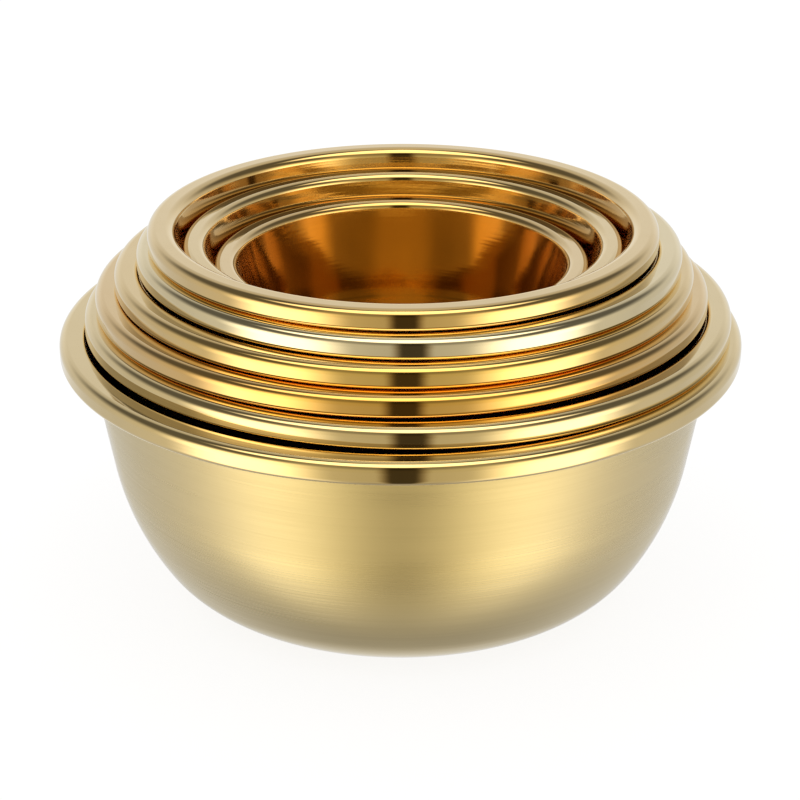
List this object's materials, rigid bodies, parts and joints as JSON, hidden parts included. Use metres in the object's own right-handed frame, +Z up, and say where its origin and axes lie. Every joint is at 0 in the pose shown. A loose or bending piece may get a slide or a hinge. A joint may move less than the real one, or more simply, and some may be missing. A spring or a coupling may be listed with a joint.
{
  "type": "nested mixing bowl set",
  "caption": "Nest of round mixing bowls in gold-tinted stainless steel with thick rolled rims; the rims step up and each bowl lifts out of the next.",
  "frame": {"origin": "centre of the underside of the largest bowl's flat floor, which is the point the nest stands on", "axes": "+Z up along the largest bowl's axis, +X to the right and +Y to the back as the nest stands; the bowls are round, so X and Y are a free choice"},
  "size_m": [0.388, 0.3878, 0.2173],
  "materials": {
    "gold_steel_1": "gold-tinted stainless steel: satin, finely brushed round the outside of the body, mirror polished on the rolled rim and the inside",
    "gold_steel_2": "gold-tinted stainless steel: satin, finely brushed round the outside of the body, mirror polished on the rolled rim and the inside",
    "gold_steel_3": "gold-tinted stainless steel: satin, finely brushed round the outside of the body, mirror polished on the rolled rim and the inside",
    "gold_steel_4": "gold-tinted stainless steel: satin, finely brushed round the outside of the body, mirror polished on the rolled rim and the inside",
    "gold_steel_5": "gold-tinted stainless steel: satin, finely brushed round the outside of the body, mirror polished on the rolled rim and the inside",
    "gold_steel_6": "gold-tinted stainless steel: satin, finely brushed round the outside of the body, mirror polished on the rolled rim and the inside",
    "gold_steel_7": "gold-tinted stainless steel: satin, finely brushed round the outside of the body, mirror polished on the rolled rim and the inside",
    "gold_steel_8": "gold-tinted stainless steel: satin, finely brushed round the outside of the body, mirror polished on the rolled rim and the inside"
  },
  "bodies": {
    "bowl_1_outermost": {"bowl_1_outermost": "gold_steel_1"},
    "bowl_2": {"bowl_2": "gold_steel_2"},
    "bowl_3": {"bowl_3": "gold_steel_3"},
    "bowl_4": {"bowl_4": "gold_steel_4"},
    "bowl_5": {"bowl_5": "gold_steel_5"},
    "bowl_6": {"bowl_6": "gold_steel_6"},
    "bowl_7": {"bowl_7": "gold_steel_7"},
    "bowl_8_innermost": {"bowl_8_innermost": "gold_steel_8"}
  },
  "joints": [
    {"name": "lift_bowl_2", "type": "slide", "parent": "bowl_1_outermost", "child": "bowl_2", "axis": [0, 0, 1], "range_m": [0, 0.15]},
    {"name": "lift_bowl_3", "type": "slide", "parent": "bowl_2", "child": "bowl_3", "axis": [0, 0, 1], "range_m": [0, 0.145]},
    {"name": "lift_bowl_4", "type": "slide", "parent": "bowl_3", "child": "bowl_4", "axis": [0, 0, 1], "range_m": [0, 0.135]},
    {"name": "lift_bowl_5", "type": "slide", "parent": "bowl_4", "child": "bowl_5", "axis": [0, 0, 1], "range_m": [0, 0.13]},
    {"name": "lift_bowl_6", "type": "slide", "parent": "bowl_5", "child": "bowl_6", "axis": [0, 0, 1], "range_m": [0, 0.125]},
    {"name": "lift_bowl_7", "type": "slide", "parent": "bowl_6", "child": "bowl_7", "axis": [0, 0, 1], "range_m": [0, 0.135]},
    {"name": "lift_bowl_8", "type": "slide", "parent": "bowl_7", "child": "bowl_8_innermost", "axis": [0, 0, 1], "range_m": [0, 0.125]}
  ]
}
